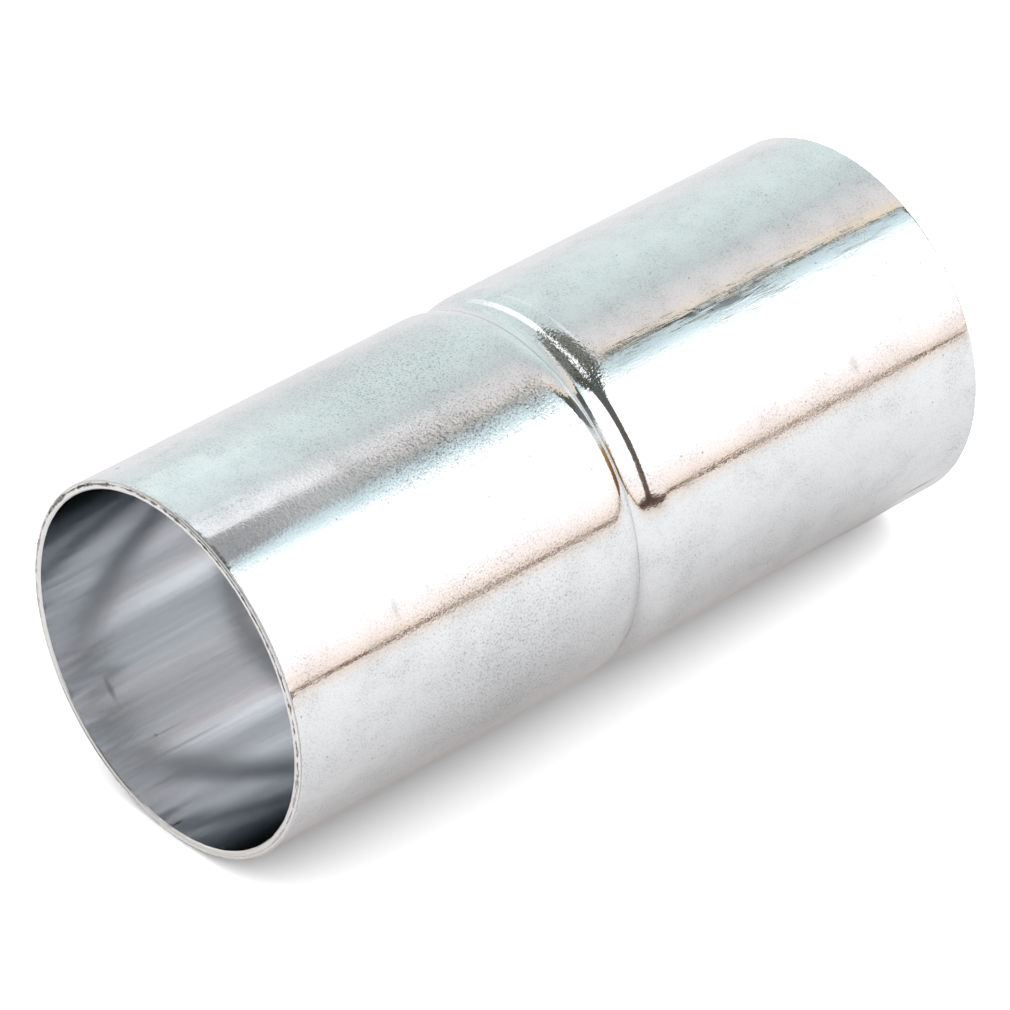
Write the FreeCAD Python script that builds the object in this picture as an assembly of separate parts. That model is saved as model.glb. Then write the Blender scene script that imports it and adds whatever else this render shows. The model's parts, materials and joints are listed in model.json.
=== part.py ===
"""Slip coupling for rigid steel conduit.

One length of thin-wall tube. A groove rolled round its middle stands inside as a bead,
which stops the two conduit ends at the same depth. The sleeve stands on one cut end,
with +Z along its axis and its origin at the centre of that end.
"""
import FreeCAD, Part
import math
import os

# Driving dimensions, in millimetres.
conduit_diameter = 25.0        # outside diameter of the conduit that each end takes
socket_clearance = 0.10        # play on the diameter between the conduit and the bore
wall = 0.65                    # thickness of the tube wall, the same through the groove
length = 60.0                  # from one cut end to the other
stop_height = 0.5              # how far the bead stands into the bore
groove_nose_radius = 1.8       # hollow radius at the bottom of the groove, seen from outside
groove_shoulder_radius = 3.6   # round radius where the outside wall turns down into the groove
outer_edge_radius = 0.22       # round that tumbling leaves on the outer edge of a cut end
inner_edge_break = 0.08        # chamfer that deburring leaves on the inner edge of a cut end

bore_radius = (conduit_diameter + socket_clearance) / 2
outer_radius = bore_radius + wall
middle = length / 2

# The groove is two shoulder arcs and one nose arc that meet on a common tangent. The outside and
# the inside of the wall share the arcs' centres, so the wall keeps its thickness through the bend.
shoulder_centre = outer_radius - groove_shoulder_radius
nose_centre = outer_radius - stop_height + groove_nose_radius
arc_centres = groove_shoulder_radius + groove_nose_radius
slope = math.acos((nose_centre - shoulder_centre) / arc_centres)
groove_half_width = arc_centres * math.sin(slope)


def point(radius, height):
    """A point of the half section."""
    return FreeCAD.Vector(radius, 0, height)


def shoulder_point(radius, angle, side):
    """A point of the shoulder arc below the groove (side -1) or above it (side 1)."""
    turn = groove_half_width - radius * math.sin(angle)
    return point(shoulder_centre + radius * math.cos(angle), middle + side * turn)


def rolled_line(shoulder_radius, nose_radius):
    """One face of the tube wall in half section, from the lower end to the upper, groove included."""
    straight = shoulder_centre + shoulder_radius
    below = [shoulder_point(shoulder_radius, slope * part, -1) for part in (0, 0.5, 1)]
    above = [shoulder_point(shoulder_radius, slope * part, 1) for part in (1, 0.5, 0)]
    nose = point(nose_centre - nose_radius, middle)
    return [
        Part.LineSegment(point(straight, 0), below[0]).toShape(),
        Part.Arc(*below).toShape(),
        Part.Arc(below[2], nose, above[0]).toShape(),
        Part.Arc(*above).toShape(),
        Part.LineSegment(above[2], point(straight, length)).toShape(),
    ]


def end_line(height):
    """The square cut across the wall at one end, in half section."""
    return Part.LineSegment(point(bore_radius, height), point(outer_radius, height)).toShape()


def cut_edges(solid, radius):
    """The round edges of both cut ends that have the given radius."""
    rounds = [edge for edge in solid.Edges if isinstance(edge.Curve, Part.Circle)]
    ends = [edge for edge in rounds if abs(abs(edge.Curve.Center.z - middle) - middle) < 1e-6]
    return [edge for edge in ends if abs(edge.Curve.Radius - radius) < 1e-6]


def coupling_sleeve():
    """The tube with its rolled groove and its finished ends."""
    outside = rolled_line(groove_shoulder_radius, groove_nose_radius)
    inside = rolled_line(groove_shoulder_radius - wall, groove_nose_radius + wall)
    outline = outside + [end_line(length)] + inside + [end_line(0)]
    section = Part.Face(Part.Wire(Part.__sortEdges__(outline)))
    tube = section.revolve(FreeCAD.Vector(0, 0, 0), FreeCAD.Vector(0, 0, 1), 360)
    tube = tube.makeFillet(outer_edge_radius, cut_edges(tube, outer_radius))
    return tube.makeChamfer(inner_edge_break, cut_edges(tube, bore_radius))


os.makedirs("parts", exist_ok=True)
coupling_sleeve().exportStep("parts/coupling_sleeve.step")
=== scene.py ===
"""Looks of the conduit coupling: a zinc-plated sleeve with a groove rolled round its middle.

The sleeve stands on its lower end. The photograph shows it lying on a table, so the camera is rolled,
and the table in the picture is an upright sheet that touches the sleeve's side.
"""
import bmesh
import bpy
import json
import math
from mathutils import Matrix, Vector, noise


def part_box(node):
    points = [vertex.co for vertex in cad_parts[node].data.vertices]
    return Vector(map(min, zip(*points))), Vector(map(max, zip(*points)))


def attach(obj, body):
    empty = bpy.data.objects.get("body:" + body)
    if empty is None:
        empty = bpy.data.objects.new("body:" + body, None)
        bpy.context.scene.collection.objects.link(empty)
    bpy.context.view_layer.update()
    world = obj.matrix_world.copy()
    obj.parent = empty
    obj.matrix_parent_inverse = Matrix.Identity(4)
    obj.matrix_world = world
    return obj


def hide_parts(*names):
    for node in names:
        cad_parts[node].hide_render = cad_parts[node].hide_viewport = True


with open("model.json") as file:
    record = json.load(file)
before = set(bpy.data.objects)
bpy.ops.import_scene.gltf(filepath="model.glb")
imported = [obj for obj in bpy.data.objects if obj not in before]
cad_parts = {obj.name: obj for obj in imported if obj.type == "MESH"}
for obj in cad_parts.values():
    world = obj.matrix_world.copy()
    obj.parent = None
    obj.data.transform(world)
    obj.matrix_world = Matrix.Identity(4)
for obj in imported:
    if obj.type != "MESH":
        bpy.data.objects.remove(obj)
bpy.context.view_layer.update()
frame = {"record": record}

MM = 0.001
MICRON = 0.001 * MM
SLEEVE = "coupling_sleeve"

# Sizes of the sleeve, in metres. The overall ones come from the frame.
low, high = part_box(SLEEVE)
length = high.z - low.z
mid_height = length / 2
outer_radius = (high.y - low.y) / 2
sockets = [m for m in frame["record"]["mounts"] if m["kind"] == "bore"]
bore_radius = sockets[0]["dims"]["r_mm"] * MM
wall = outer_radius - bore_radius
stop_height = 0.5 * MM
groove_nose_radius = 1.8 * MM
groove_shoulder_radius = 3.6 * MM
outer_edge_radius = 0.22 * MM
inner_edge_break = 0.08 * MM
roller_line_depth = 0.035 * MM
dark_groove_line_off = 0.76 * MM
edge_wear = 0.03 * MM
ripple_size = 0.35 * MM
nick_size = 1.1 * MM
burr_line_width = 0.10 * MM
burr_line_depth = 0.06 * MM

# How finely the sleeve is turned. The outer rings of a straight wall stand close to its ends, so that
# the smooth shading of the bend beyond does not run along the wall.
quarter_steps = 180
arc_steps = 8
wall_rings = (0.01, 0.2, 0.4, 0.6, 0.8, 0.99)

# The camera, seen from the middle of the sleeve.
photo_azimuth = math.radians(22.0)
camera_elevation = math.radians(-33.07)
camera_roll = math.radians(-62.16)
camera_distance = 436.4 * MM
camera_lens = 236.0
aim_off_axis = Vector((-0.634, -1.165)) * MM

# Turns round the sleeve are counted from the camera's side, towards the top of the picture.
toward = Vector((math.sin(photo_azimuth), -math.cos(photo_azimuth), 0))
upward = Vector((0, 0, 1))
across = toward.cross(upward)

# The paper that the sleeve lies on in the picture, and the one that it stands on.
table_turn = -133.9
table_gap = 0.02 * MM
table_reach = 1.0
floor_reach = 72 * MM


def direction(turn, rise=0):
    """A direction from the sleeve, by its turn round the axis and its rise above level, in degrees."""
    level = toward * math.cos(math.radians(turn)) + across * math.sin(math.radians(turn))
    return level * math.cos(math.radians(rise)) + upward * math.sin(math.radians(rise))


def linear(hex_colour):
    """An sRGB hex colour as linear red, green, blue and a full alpha."""
    parts = [int(hex_colour[i:i + 2], 16) / 255 for i in (1, 3, 5)]
    return [p / 12.92 if p <= 0.04045 else ((p + 0.055) / 1.055) ** 2.4 for p in parts] + [1]


def add_node(tree, kind, inputs, **settings):
    """Adds a node with its settings, and sets or links the inputs that are named."""
    node = tree.nodes.new(kind)
    for name, value in settings.items():
        setattr(node, name, value)
    for name, value in inputs.items():
        if isinstance(value, bpy.types.NodeSocket):
            tree.links.new(value, node.inputs[name])
        else:
            node.inputs[name].default_value = value
    return node


def new_material(name):
    """An empty node material and its tree."""
    material = bpy.data.materials.new(name)
    material.use_nodes = True
    material.node_tree.nodes.clear()
    return material, material.node_tree


def patch(tree, place, turn, height, half_width, half_length, weight, radius=outer_radius):
    """A soft oval, in millimetres, on a wall: its weight in its middle and 0 from its edge outwards."""
    centre = direction(turn) * radius + upward * height * MM
    squeeze = Vector((1 / half_width, 1 / half_width, 1 / half_length)) / MM
    off = add_node(tree, "ShaderNodeVectorMath", {0: place, 1: centre}, operation="SUBTRACT")
    even = add_node(tree, "ShaderNodeVectorMath", {0: off.outputs[0], 1: squeeze}, operation="MULTIPLY")
    away = add_node(tree, "ShaderNodeVectorMath", {0: even.outputs[0]}, operation="LENGTH")
    inside = add_node(tree, "ShaderNodeMapRange", {
        "Value": away.outputs["Value"], "From Min": 1.0, "From Max": 0.0, "To Max": weight},
        interpolation_type="SMOOTHSTEP")
    return inside.outputs[0]


def strongest(tree, values):
    """The highest of several values."""
    top = values[0]
    for value in values[1:]:
        top = add_node(tree, "ShaderNodeMath", {0: top, 1: value}, operation="MAXIMUM").outputs[0]
    return top


# Patches, each with its turn, then its height, half width and half length in millimetres, then its weight.
# Where the zinc has grown coarser crystals.
coarse_patches = [
    (21, 19, 5, 13, 1), (24, 3, 3, 6, 0.2), (19, 26.5, 3, 3, 1.6), (52, 20, 8, 12, 0.7),
    (-52, 18, 13, 13, 0.65), (-21, 17, 3, 16, 0.5), (-21, 46, 2, 16, 0.5), (24, 31.3, 3.6, 1.9, 3),
    (32, 30.9, 3, 1.3, 3),
]
# Cloudy patches, smudges, two dots, a nick and a scratch on the outside.
outside_marks = [
    (-62, 18, 9, 14, 0.15), (-54, 44, 8, 16, 0.1), (66, 18, 7, 13, 0.1),
    (-13.6, 9.5, 1.3, 0.4, 0.25), (-13.6, 49.8, 1.1, 0.5, 0.25), (-4.5, 50.2, 0.4, 0.3, 0.2),
    (74.9, 1.9, 0.25, 0.25, 0.8), (-9, 21, 0.2, 0.2, 0.4), (78, 28.3, 0.3, 0.35, 0.8),
    (-74.5, 56.6, 0.28, 2.2, 1),
]
# Turn and height of the middle of the flaked strip above the groove.
flaked_strip = (18.5, 46)
# A brown stain, a dot, a nick and two scratches in the bore.
bore_marks = [
    (177, 2.95, 1.2, 0.35, 0.45), (195.6, 4.1, 0.22, 0.22, 0.5), (226, 0.5, 0.13, 0.7, 0.7),
    (195.8, 5, 0.12, 3, 0.25), (202, 6, 0.12, 4, 0.25),
]


def bright_zinc_plate():
    """Steel tube electroplated with zinc and clear passivated.

    It mirrors what is round it. The plate's crystal grain breaks the edges of the reflections into specks,
    and draw marks of the tube under it pull them out along the axis. Real crystals are some microns across,
    too fine to show, so the grain is drawn at 0.13 to 0.19 mm.
    """
    material, tree = new_material("bright_zinc_plate")
    place = add_node(tree, "ShaderNodeTexCoord", {}).outputs["Object"]
    cloud = add_node(tree, "ShaderNodeTexNoise", {
        "Vector": place, "Scale": 1 / (3.2 * MM), "Detail": 6.0, "Roughness": 0.65})
    cloudy = add_node(tree, "ShaderNodeMapRange", {
        "Value": cloud.outputs["Fac"], "From Min": 0.45, "From Max": 0.75, "To Max": 0.5})
    coarse = strongest(tree, [cloudy.outputs[0]] + [patch(tree, place, *spot) for spot in coarse_patches])

    # Heights of the surface, in metres.
    grain = add_node(tree, "ShaderNodeTexNoise", {
        "Vector": place, "Scale": 1 / (0.19 * MM), "Detail": 2.0, "Roughness": 0.5})
    grain_depth = add_node(tree, "ShaderNodeMapRange", {
        "Value": coarse, "To Min": 1.5 * MICRON, "To Max": 12 * MICRON}, clamp=False)
    along = add_node(tree, "ShaderNodeVectorMath", {0: place, 1: (1, 1, 0.13)}, operation="MULTIPLY")
    fine_marks = add_node(tree, "ShaderNodeTexNoise", {
        "Vector": along.outputs[0], "Scale": 1 / (0.16 * MM), "Detail": 1.0, "Roughness": 0.5})
    broad_marks = add_node(tree, "ShaderNodeTexNoise", {
        "Vector": along.outputs[0], "Scale": 1 / (0.45 * MM), "Detail": 2.0, "Roughness": 0.6})
    flakes = add_node(tree, "ShaderNodeMapRange", {
        "Value": broad_marks.outputs["Fac"], "From Min": 0.52, "From Max": 0.68})
    flake_depth = patch(tree, place, *flaked_strip, 4.5, 20, 8 * MICRON)
    level = 0.0
    for pattern, depth in ((grain.outputs["Fac"], grain_depth.outputs[0]),
                           (fine_marks.outputs["Fac"], 1.5 * MICRON), (flakes.outputs[0], flake_depth)):
        level = add_node(tree, "ShaderNodeMath", {
            0: pattern, 1: depth, 2: level}, operation="MULTIPLY_ADD").outputs[0]
    bump = add_node(tree, "ShaderNodeBump", {"Strength": 1.0, "Distance": 1.0, "Height": level})

    # Colour: clouds and the specks of the grain.
    dull = add_node(tree, "ShaderNodeMapRange", {
        "Value": cloud.outputs["Fac"], "From Min": 0.40, "From Max": 0.72})
    crystals = add_node(tree, "ShaderNodeTexNoise", {
        "Vector": place, "Scale": 1 / (0.13 * MM), "Detail": 1.5, "Roughness": 0.65})
    speck = add_node(tree, "ShaderNodeMapRange", {
        "Value": crystals.outputs["Fac"], "From Min": 0.50, "From Max": 0.72})
    speck_share = add_node(tree, "ShaderNodeMapRange", {"Value": coarse, "To Min": 0.22, "To Max": 1.0})
    specks = add_node(tree, "ShaderNodeMath", {
        0: speck.outputs[0], 1: speck_share.outputs[0]}, operation="MULTIPLY")
    shade = add_node(tree, "ShaderNodeMath", {
        0: dull.outputs[0], 1: 0.14, 2: specks.outputs[0]}, operation="MULTIPLY_ADD")
    plate = add_node(tree, "ShaderNodeMix", {
        "Factor": shade.outputs[0], "A": linear("#EDF0F0"), "B": linear("#82878A")}, data_type="RGBA")

    # Darker: a few dots, a thin line in the groove below its middle, flakes above the groove with a painted
    # dark reflection along them, and the marks.
    spread = add_node(tree, "ShaderNodeTexVoronoi", {"Vector": place, "Scale": 1 / (1.5 * MM)})
    dots = add_node(tree, "ShaderNodeMapRange", {
        "Value": spread.outputs["Distance"], "From Min": 0.06, "From Max": 0.03, "To Max": 0.6})
    height = add_node(tree, "ShaderNodeSeparateXYZ", {0: place})
    # A thin darker line in the groove, below its middle.
    at_line = add_node(tree, "ShaderNodeMath", {
        0: height.outputs["Z"], 1: mid_height - dark_groove_line_off, 2: 0.05 * MM}, operation="COMPARE")
    dark_groove_line = add_node(tree, "ShaderNodeMath", {0: at_line.outputs[0], 1: 0.35}, operation="MULTIPLY")
    # Painted reflection: the flakes are darker along a narrow strip where the dark line between the white
    # band and the upper side falls.
    flake_dark_reflection = add_node(tree, "ShaderNodeMath", {
        0: flakes.outputs[0], 1: patch(tree, place, *flaked_strip, 1.6, 19, 0.7)}, operation="MULTIPLY")
    marks = [patch(tree, place, *spot) for spot in outside_marks]
    dark = strongest(tree, [dots.outputs[0], dark_groove_line.outputs[0], flake_dark_reflection.outputs[0]] + marks)
    colour = add_node(tree, "ShaderNodeMix", {
        "Factor": dark, "A": plate.outputs["Result"], "B": linear("#55575A")}, data_type="RGBA")
    gloss = add_node(tree, "ShaderNodeMapRange", {
        "Value": dull.outputs[0], "To Min": 0.06, "To Max": 0.13})
    shader = add_node(tree, "ShaderNodeBsdfPrincipled", {
        "Base Color": colour.outputs["Result"], "Metallic": 1.0, "Roughness": gloss.outputs[0],
        "Normal": bump.outputs[0]})
    add_node(tree, "ShaderNodeOutputMaterial", {"Surface": shader.outputs["BSDF"]})
    return material


def drawn_zinc_bore():
    """The inside of the tube: drawn over a mandrel, then plated.

    It mirrors, smeared by fine streaks along the axis. Painted shade darkens it at the stop bead, deep in the
    bore.
    """
    material, tree = new_material("drawn_zinc_bore")
    place = add_node(tree, "ShaderNodeTexCoord", {}).outputs["Object"]
    along = add_node(tree, "ShaderNodeVectorMath", {0: place, 1: (1, 1, 0.04)}, operation="MULTIPLY")
    streaks = add_node(tree, "ShaderNodeTexNoise", {
        "Vector": along.outputs[0], "Scale": 1 / (0.35 * MM), "Detail": 4.0, "Roughness": 0.65})
    share = add_node(tree, "ShaderNodeMapRange", {
        "Value": streaks.outputs["Fac"], "From Min": 0.18, "From Max": 0.82})
    plate = add_node(tree, "ShaderNodeMix", {
        "Factor": share.outputs[0], "A": linear("#F5F6F7"), "B": linear("#E1E2E4")}, data_type="RGBA")
    height = add_node(tree, "ShaderNodeSeparateXYZ", {0: place})
    off_middle = add_node(tree, "ShaderNodeMath", {
        0: height.outputs["Z"], 1: mid_height}, operation="SUBTRACT")
    away = add_node(tree, "ShaderNodeMath", {0: off_middle.outputs[0]}, operation="ABSOLUTE")
    # Painted shade at the stop bead, deep in the bore.
    bead = add_node(tree, "ShaderNodeMapRange", {
        "Value": away.outputs[0], "From Min": 1.9 * MM, "From Max": 0.9 * MM, "To Max": 0.48})
    marks = [patch(tree, place, *spot, radius=bore_radius) for spot in bore_marks]
    dark = strongest(tree, [bead.outputs[0]] + marks)
    colour = add_node(tree, "ShaderNodeMix", {
        "Factor": dark, "A": plate.outputs["Result"], "B": linear("#4A4440")}, data_type="RGBA")
    bump = add_node(tree, "ShaderNodeBump", {
        "Strength": 1.0, "Distance": 2.5 * MICRON, "Height": streaks.outputs["Fac"]})
    # The tint takes some of the mirror off at grazing angles, so the sides of the mouth look darker.
    shader = add_node(tree, "ShaderNodeBsdfPrincipled", {
        "Base Color": colour.outputs["Result"], "Metallic": 1.0, "Roughness": 0.12,
        "Specular Tint": linear("#CBD0D3"), "Normal": bump.outputs[0]})
    add_node(tree, "ShaderNodeOutputMaterial", {"Surface": shader.outputs["BSDF"]})
    return material


def sawn_zinc_end():
    """The cut end of the wall: sawn and tumbled before plating, so it is pale, matt and finely scored.

    Its burred outer edge was rolled over, which leaves a broken dark line along the edge; it is partly that
    rolled edge and partly a painted reflection, dark mostly on the side towards turn 35.
    """
    material, tree = new_material("sawn_zinc_end")
    place = add_node(tree, "ShaderNodeTexCoord", {}).outputs["Object"]
    scores = add_node(tree, "ShaderNodeTexNoise", {
        "Vector": place, "Scale": 1 / (0.18 * MM), "Detail": 3.0, "Roughness": 0.6})
    face = add_node(tree, "ShaderNodeMix", {
        "Factor": scores.outputs["Fac"], "A": linear("#FBFBF9"), "B": linear("#E2E1DE")}, data_type="RGBA")
    flat = add_node(tree, "ShaderNodeVectorMath", {0: place, 1: (1, 1, 0)}, operation="MULTIPLY")
    radius = add_node(tree, "ShaderNodeVectorMath", {0: flat.outputs[0]}, operation="LENGTH")
    breaks = add_node(tree, "ShaderNodeTexNoise", {
        "Vector": place, "Scale": 1 / (0.45 * MM), "Detail": 4.0, "Roughness": 0.7})
    chips = add_node(tree, "ShaderNodeTexNoise", {
        "Vector": place, "Scale": 1 / (1.3 * MM), "Detail": 2.0, "Roughness": 0.6})
    line_width = add_node(tree, "ShaderNodeMapRange", {
        "Value": chips.outputs["Fac"], "From Min": 0.38, "From Max": 0.64, "To Max": 1.6 * burr_line_width})
    wander = add_node(tree, "ShaderNodeMath", {
        0: breaks.outputs["Fac"], 1: 0.2 * MM, 2: radius.outputs["Value"]}, operation="MULTIPLY_ADD")
    near_line = add_node(tree, "ShaderNodeMath", {
        0: wander.outputs[0], 1: outer_radius - outer_edge_radius + 0.05 * MM, 2: line_width.outputs[0]},
        operation="COMPARE")
    broken = add_node(tree, "ShaderNodeMapRange", {
        "Value": breaks.outputs["Fac"], "From Min": 0.36, "From Max": 0.56, "To Max": 0.9})
    # Painted reflection: the line at the burred edge is dark mostly on the side towards turn 35.
    toward_top = add_node(tree, "ShaderNodeVectorMath", {
        0: place, 1: direction(35)}, operation="DOT_PRODUCT")
    dark_reflection_side = add_node(tree, "ShaderNodeMapRange", {
        "Value": toward_top.outputs["Value"], "From Min": -8 * MM, "From Max": 4 * MM})
    line = add_node(tree, "ShaderNodeMath", {
        0: near_line.outputs[0], 1: broken.outputs[0]}, operation="MULTIPLY")
    burr_and_dark_reflection = add_node(tree, "ShaderNodeMath", {
        0: line.outputs[0], 1: dark_reflection_side.outputs[0]}, operation="MULTIPLY")
    colour = add_node(tree, "ShaderNodeMix", {
        "Factor": burr_and_dark_reflection.outputs[0], "A": face.outputs["Result"], "B": linear("#454139")}, data_type="RGBA")
    bump = add_node(tree, "ShaderNodeBump", {
        "Strength": 1.0, "Distance": 25 * MICRON, "Height": scores.outputs["Fac"]})
    shader = add_node(tree, "ShaderNodeBsdfPrincipled", {
        "Base Color": colour.outputs["Result"], "Metallic": 1.0, "Roughness": 0.36,
        "Normal": bump.outputs[0]})
    add_node(tree, "ShaderNodeOutputMaterial", {"Surface": shader.outputs["BSDF"]})
    return material


def arc(centre, radius, start, end):
    """Points of an arc in the half section, ends included, as (radius, height) pairs."""
    steps = [start + (end - start) * k / arc_steps for k in range(arc_steps + 1)]
    return [centre + Vector((math.cos(t), math.sin(t))) * radius for t in steps]


def rolled_line(shoulder_radius, nose_radius):
    """One face of the wall in half section, from the lower groove shoulder to the upper."""
    shoulder_centre = outer_radius - groove_shoulder_radius
    nose_centre = outer_radius - stop_height + groove_nose_radius
    between = groove_shoulder_radius + groove_nose_radius
    slope = math.acos((nose_centre - shoulder_centre) / between)
    half_width = between * math.sin(slope)
    below = arc(Vector((shoulder_centre, mid_height - half_width)), shoulder_radius, 0, slope)
    nose = arc(Vector((nose_centre, mid_height)), nose_radius, math.pi + slope, math.pi - slope)
    above = arc(Vector((shoulder_centre, mid_height + half_width)), shoulder_radius, -slope, 0)
    below[-1].x -= roller_line_depth
    above[0].x -= roller_line_depth
    return below + nose[1:-1] + above


def straight(radius, start, end):
    """Points of a straight wall in half section, without its two ends."""
    return [Vector((radius, start + (end - start) * part)) for part in wall_rings]


def sleeve_outline():
    """The closed half section of the wall, up the outside and down the bore."""
    outside = rolled_line(groove_shoulder_radius, groove_nose_radius)
    inside = rolled_line(groove_shoulder_radius - wall, groove_nose_radius + wall)
    edge_in = outer_radius - outer_edge_radius
    lower_edge = arc(Vector((edge_in, outer_edge_radius)), outer_edge_radius, -math.pi / 2, 0)
    upper_edge = arc(Vector((edge_in, length - outer_edge_radius)), outer_edge_radius, 0, math.pi / 2)
    burr_line = [edge_in - burr_line_width * part for part in (0.5, 1)]
    top = length - inner_edge_break
    outline = lower_edge
    outline += straight(outer_radius, outer_edge_radius, outside[0].y) + outside
    outline += straight(outer_radius, outside[-1].y, length - outer_edge_radius) + upper_edge
    outline += [Vector((burr_line[0], length - burr_line_depth)), Vector((burr_line[1], length))]
    outline += [Vector((bore_radius + inner_edge_break, length)), Vector((bore_radius, top))]
    outline += straight(bore_radius, top, inside[-1].y) + inside[::-1]
    outline += straight(bore_radius, inside[0].y, inner_edge_break)
    outline += [Vector((bore_radius, inner_edge_break)), Vector((bore_radius + inner_edge_break, 0))]
    outline += [Vector((burr_line[1], 0)), Vector((burr_line[0], burr_line_depth))]
    return outline


def worn_ends(mesh):
    """Leaves the small nicks and burrs of sawing and tumbling on the edges of both cut ends."""
    for vert in mesh.verts:
        if min(vert.co.z, length - vert.co.z) > outer_edge_radius * 1.01:
            continue
        level = vert.co * Vector((1, 1, 0))
        off_middle = level.length - (outer_radius + bore_radius) / 2
        ripple = noise.noise(vert.co / ripple_size)
        nick = max(0.0, noise.noise(vert.co / nick_size) - 0.25)
        vert.co -= level.normalized() * (math.copysign(edge_wear, off_middle) * (0.5 * ripple + 2 * nick))
        vert.co.z += math.copysign(edge_wear * (0.4 * ripple + nick), mid_height - vert.co.z)


def finish_of(face):
    """Which of the sleeve's three finishes a face has: 0 outside, 1 bore, 2 cut end."""
    centre = face.calc_center_median()
    faces_along = abs(face.normal.z) > 0.6
    if faces_along and min(abs(centre.z), abs(length - centre.z)) < wall:
        return 2
    outward = centre * Vector((1, 1, 0))
    return 0 if face.normal.dot(outward) > 0 else 1


def turned_sleeve():
    """The sleeve, turned from its half section."""
    mesh = bmesh.new()
    corners = [mesh.verts.new((p.x, 0, p.y)) for p in sleeve_outline()]
    edges = [mesh.edges.new(pair) for pair in zip(corners, corners[1:] + corners[:1])]
    bmesh.ops.spin(mesh, geom=corners + edges, cent=(0, 0, 0), axis=(0, 0, 1),
                   angle=math.pi / 2, steps=quarter_steps)
    for axis in ("X", "Y"):
        whole = mesh.verts[:] + mesh.edges[:] + mesh.faces[:]
        bmesh.ops.mirror(mesh, geom=whole, axis=axis, merge_dist=1e-7)
    bmesh.ops.recalc_face_normals(mesh, faces=mesh.faces)
    for face in mesh.faces:
        face.material_index = finish_of(face)
    worn_ends(mesh)
    data = bpy.data.meshes.new("turned_sleeve")
    mesh.to_mesh(data)
    mesh.free()
    data.shade_smooth()
    data.set_sharp_from_angle(angle=math.radians(30))
    piece = bpy.data.objects.new("turned_sleeve", data)
    bpy.context.collection.objects.link(piece)
    for finish in (bright_zinc_plate(), drawn_zinc_bore(), sawn_zinc_end()):
        data.materials.append(finish)
    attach(piece, "root")
    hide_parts(SLEEVE)
    return piece


def staged(name, mesh, material):
    """Makes a bmesh an object with its material, linked to the scene."""
    data = bpy.data.meshes.new(name)
    mesh.to_mesh(data)
    mesh.free()
    data.materials.append(material)
    thing = bpy.data.objects.new(name, data)
    bpy.context.collection.objects.link(thing)
    return thing


def lit_card(name, distance, facing, corners, strength, stops):
    """An upright card that glows, for the metal to mirror.

    It stands square to the turn that it faces, at a distance in metres. Its corners are (turn, rise)
    from the sleeve's middle. Its colour runs sideways through stops of (turn, colour).
    """
    material, tree = new_material(name)
    sideways = direction(facing + 90)
    metres = [distance * math.tan(math.radians(turn - facing)) for turn, _ in stops]
    place = add_node(tree, "ShaderNodeTexCoord", {})
    along = add_node(tree, "ShaderNodeVectorMath", {0: place.outputs["Object"], 1: sideways},
                     operation="DOT_PRODUCT")
    share = add_node(tree, "ShaderNodeMapRange", {
        "Value": along.outputs["Value"], "From Min": metres[0], "From Max": metres[-1]})
    ramp = add_node(tree, "ShaderNodeValToRGB", {"Fac": share.outputs[0]})
    while len(ramp.color_ramp.elements) < len(stops):
        ramp.color_ramp.elements.new(0.5)
    for element, at, (_, colour) in zip(ramp.color_ramp.elements, metres, stops):
        element.position = (at - metres[0]) / (metres[-1] - metres[0])
        element.color = linear(colour)
    light = add_node(tree, "ShaderNodeEmission", {"Color": ramp.outputs["Color"], "Strength": strength})
    add_node(tree, "ShaderNodeOutputMaterial", {"Surface": light.outputs[0]})

    mesh = bmesh.new()
    middle = upward * mid_height
    rays = [direction(turn, rise) for turn, rise in corners]
    reach = [distance / ray.dot(direction(facing)) for ray in rays]
    mesh.faces.new([mesh.verts.new(middle + ray * far) for ray, far in zip(rays, reach)])
    card = staged(name, mesh, material)
    card.visible_camera = False
    card.visible_shadow = False
    card.visible_diffuse = False
    return card


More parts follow.
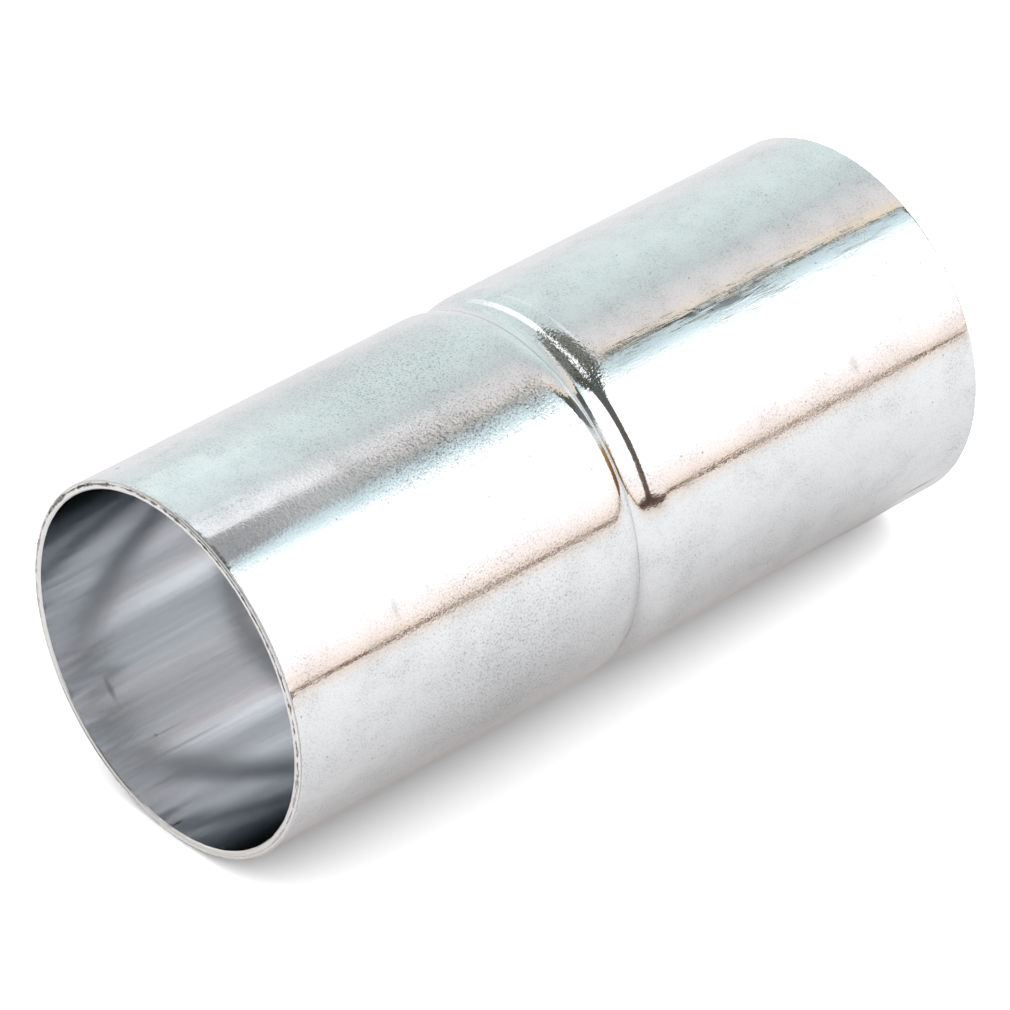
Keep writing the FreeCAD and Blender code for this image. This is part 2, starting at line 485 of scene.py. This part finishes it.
def pale_paper(name):
    """Pale paper that the camera sees as white and that keeps the shadow. It is seen from its front only.

    In the photograph the shadow is fainter towards the sleeve's upper end, so painted light makes the paper
    whiter there for the camera.
    What the metal mirrors of it is warmer far off in front of the sleeve, greyer with painted shade behind
    the sleeve and past its upper end, and lit by a faint painted glow, strongest where the sleeve touches it.
    """
    material, tree = new_material(name)
    path = add_node(tree, "ShaderNodeLightPath", {})
    place = add_node(tree, "ShaderNodeTexCoord", {}).outputs["Object"]
    in_front = add_node(tree, "ShaderNodeVectorMath", {
        0: place, 1: direction(table_turn + 90)}, operation="DOT_PRODUCT").outputs["Value"]
    far_off = add_node(tree, "ShaderNodeMapRange", {
        "Value": in_front, "From Min": 100 * MM, "From Max": 320 * MM})
    # Painted shade: what the metal mirrors is greyer behind the sleeve and in a patch past its upper end.
    behind = add_node(tree, "ShaderNodeMapRange", {
        "Value": in_front, "From Min": -20 * MM, "From Max": -50 * MM, "To Max": 0.22})
    shade = strongest(tree, [behind.outputs[0], patch(tree, place, table_turn, 85, 45, 36, 0.4)])
    pale = add_node(tree, "ShaderNodeMix", {
        "Factor": far_off.outputs[0], "A": linear("#E9E9EC"), "B": linear("#DFD1C8")}, data_type="RGBA")
    mirrored = add_node(tree, "ShaderNodeMix", {
        "Factor": shade, "A": pale.outputs["Result"], "B": linear("#A3A9AB")}, data_type="RGBA")
    height = add_node(tree, "ShaderNodeSeparateXYZ", {0: place})
    # Camera rays see the paper above 1 so that it shows white; painted light makes it whiter towards the
    # sleeve's upper end, which fades the shadow there.
    white = add_node(tree, "ShaderNodeMapRange", {
        "Value": height.outputs["Z"], "From Min": 20 * MM, "From Max": 55 * MM, "To Min": 1.9, "To Max": 2.2})
    colour = add_node(tree, "ShaderNodeMix", {
        "Factor": path.outputs["Is Camera Ray"], "A": mirrored.outputs["Result"],
        "B": white.outputs[0]}, data_type="RGBA")
    # Painted light: the paper glows faintly for the metal, most where the sleeve touches it.
    painted_glow = add_node(tree, "ShaderNodeMath", {
        0: patch(tree, place, table_turn, 30, 13, 60, 0.25), 1: 0.13}, operation="ADD")
    strength = add_node(tree, "ShaderNodeMath", {
        0: painted_glow.outputs[0], 1: path.outputs["Is Glossy Ray"]}, operation="MULTIPLY")
    paper = add_node(tree, "ShaderNodeBsdfDiffuse", {"Color": colour.outputs["Result"]})
    light = add_node(tree, "ShaderNodeEmission", {
        "Color": linear("#FFEDE4"), "Strength": strength.outputs[0]})
    both = add_node(tree, "ShaderNodeAddShader", {0: paper.outputs[0], 1: light.outputs[0]})
    clear = add_node(tree, "ShaderNodeBsdfTransparent", {})
    side = add_node(tree, "ShaderNodeNewGeometry", {})
    one_sided = add_node(tree, "ShaderNodeMixShader", {
        0: side.outputs["Backfacing"], 1: both.outputs[0], 2: clear.outputs[0]})
    add_node(tree, "ShaderNodeOutputMaterial", {"Surface": one_sided.outputs[0]})
    return material


def table():
    """The table that the sleeve lies on in the photograph."""
    down = direction(table_turn)
    turned = (-down).to_track_quat("Z", "Y").to_matrix().to_4x4()
    mesh = bmesh.new()
    bmesh.ops.create_grid(mesh, x_segments=1, y_segments=1, size=table_reach,
                          matrix=Matrix.Translation(down * (outer_radius + table_gap)) @ turned)
    staged("table", mesh, pale_paper("table_paper"))


def floor():
    """The floor that the sleeve stands on, open under its mouth, for views from above."""
    mesh = bmesh.new()
    for radius in (outer_radius, floor_reach):
        bmesh.ops.create_circle(mesh, segments=96, radius=radius)
    bmesh.ops.bridge_loops(mesh, edges=mesh.edges[:])
    bmesh.ops.recalc_face_normals(mesh, faces=mesh.faces)
    if mesh.faces[:][0].normal.z < 0:
        bmesh.ops.reverse_faces(mesh, faces=mesh.faces[:])
    sheet = staged("floor", mesh, pale_paper("floor_paper"))
    sheet.visible_diffuse = False
    sheet.visible_shadow = False


# The flags stand behind the cards, where they show only past the cards' edges.
flag_distance = 1.6


def cards():
    """What the metal mirrors, placed where the photograph's reflections show it."""
    # The broad white band, and the light on the table.
    light = lit_card(
        "light_cloth", 0.90, -2,
        [(-36, -7), (5, -7), (15, -4), (23, 2), (30, 14), (36, 29), (37.5, 29.8), (40, 30.6), (41.5, 33),
         (40.8, 35), (40.3, 37.2), (35, 44), (26, 51), (15, 56), (4, 58), (-43, 58), (-43, 30)],
        1.6, [(-43, "#B99D8B"), (-41, "#D3C3B9"), (-36.7, "#E3D4CE"), (-32.7, "#E7DBD9"), (-28.6, "#EBE1E1"),
              (-24, "#F1ECEC"), (-20, "#FFFFFF"), (24, "#FFFFFF"), (28.4, "#E2E7E9"), (32.5, "#C1CFD4"),
              (36.5, "#B1BEC3"), (42, "#A5ADAF")])
    light.visible_diffuse = True
    # The pale upper side, brighter and lilac towards the near mouth.
    lit_card("lilac_card", 0.92, 85,
             [(55, 29.1), (58, 27), (64, 25), (72, 25), (72, 30), (66, 30.2), (57, 30.5), (54, 29.9)],
             1.15, [(54, "#FDFCFF"), (62, "#FDFCFF"), (72, "#E0E7EA")])
    lit_card("near_card", 0.93, 85, [(70, 25), (118, 25), (118, 30), (94, 30), (70, 30)],
             1.1, [(70, "#DCE1E3"), (77, "#DEE7E8"), (100, "#E9F5F5"), (118, "#EBF3F3")])
    lit_card("pale_card", 0.95, 85,
             [(42, 60), (41, 45), (41.2, 37.7), (42, 36.8), (43.2, 36), (44, 35), (45.6, 34.1), (47.8, 33.1),
              (49.2, 32.2), (51.2, 31.1), (53.7, 29.8), (55.1, 29.1), (57, 27.5), (61, 25), (66, 17), (71, 6),
              (75, -3), (138, -3), (138, 60)],
             1.0, [(43, "#FFECD8"), (48, "#F8EBE0"), (53, "#EFE9EA"), (61, "#E8E5E5"), (69, "#D8DDDE"),
                   (77, "#DCE6E6"), (100, "#E9F5F4"), (118, "#EBF3F3"), (137, "#EEF1F2")])
    # The white streak that the groove bends into view.
    lit_card("window_card", 0.88, 85,
             [(36, -30), (36, -8), (70, -8), (75, 1), (90, 4), (107, 8.5), (128, 15), (128, -30)],
             1.4, [(36, "#FFFFFF"), (100, "#FFFFFF"), (128, "#C8D0D0")])
    # The dark line between the white band and the upper side, greyer towards the near mouth.
    lit_card("side_flag", flag_distance, 60, [(20, -8), (80, -8), (80, 60), (20, 60)],
             1.0, [(20, "#5E5E59"), (80, "#5E5E59")])
    lit_card("grey_flag", 0.98 * flag_distance, 60,
             [(34, 26), (60, 26), (60, 30.4), (47, 30.6), (34, 30.4)],
             1.0, [(34, "#AAA9AC"), (60, "#AAA9AC")])
    lit_card("mid_flag", 0.98 * flag_distance, 60,
             [(34, 30.4), (47, 30.6), (60, 30.4), (60, 33), (47, 33.2), (34, 33)],
             1.0, [(34, "#D4D4D5"), (60, "#D4D4D5")])
    # The dark blotch and the dark lines in the groove, and the brown line along the lower side.
    lit_card("blotch_flag", 0.99 * flag_distance, 60, [(40, -8), (80, -8), (80, 25), (40, 25)],
             1.0, [(40, "#82827D"), (80, "#82827D")])
    lit_card("top_flag", flag_distance, 0, [(-62, 45), (50, 45), (50, 67), (-62, 67)],
             1.0, [(-62, "#5F4638"), (-30, "#8A5F3C"), (-6, "#B08C56"), (0, "#F0F0F0"), (12, "#F0F0F0"),
                   (18, "#77797A"), (50, "#77797A")])
    lit_card("edge_flag", flag_distance, -45, [(-49, -15), (-38, -15), (-38, 60), (-49, 60)],
             1.0, [(-49, "#5A4236"), (-38, "#5A4236")])
    lit_card("low_flag", flag_distance, 0, [(-48, -42), (34, -42), (34, -1), (-48, -1)],
             1.0, [(-40, "#785E55"), (34, "#5C6666")])
    # Dark below the mouth, for the worn edge of the cut end.
    lit_card("under_flag", flag_distance, 60,
             [(-15, -66), (130, -66), (130, -20), (34, -32), (34, -44), (-15, -44)],
             1.0, [(-15, "#3C3B3A"), (130, "#3C3B3A")])


def world_light():
    """Even white round the set."""
    world = bpy.data.worlds.new("white_room")
    world.use_nodes = True
    tree = world.node_tree
    tree.nodes.clear()
    light = add_node(tree, "ShaderNodeBackground", {"Color": linear("#FFFFFF"), "Strength": 1.0})
    add_node(tree, "ShaderNodeOutputWorld", {"Surface": light.outputs[0]})
    bpy.context.scene.world = world


def photo_camera():
    """The camera of the photograph, rolled so that the standing sleeve lies in the picture."""
    data = bpy.data.cameras.new("photo_camera")
    data.lens = camera_lens
    data.sensor_width = 36.0
    camera = bpy.data.objects.new("photo_camera", data)
    bpy.context.collection.objects.link(camera)
    back = toward * math.cos(camera_elevation) + upward * math.sin(camera_elevation)
    level = back.to_track_quat("Z", "Y").to_matrix().to_4x4()
    turned = level @ Matrix.Rotation(-camera_roll, 4, "Z")
    right, up = turned.col[0].to_3d(), turned.col[1].to_3d()
    aim = upward * mid_height + right * aim_off_axis.x + up * aim_off_axis.y
    camera.matrix_world = Matrix.Translation(aim + back * camera_distance) @ turned
    bpy.context.scene.camera = camera


turned_sleeve()
table()
floor()
cards()
world_light()
photo_camera()
bpy.context.scene.view_settings.view_transform = "Standard"
# The table keeps its plain shadow, without specks of light thrown by the metal.
bpy.context.scene.cycles.caustics_reflective = False
# Light crosses the bore up to seven times on its way through.
bpy.context.scene.cycles.glossy_bounces = 12
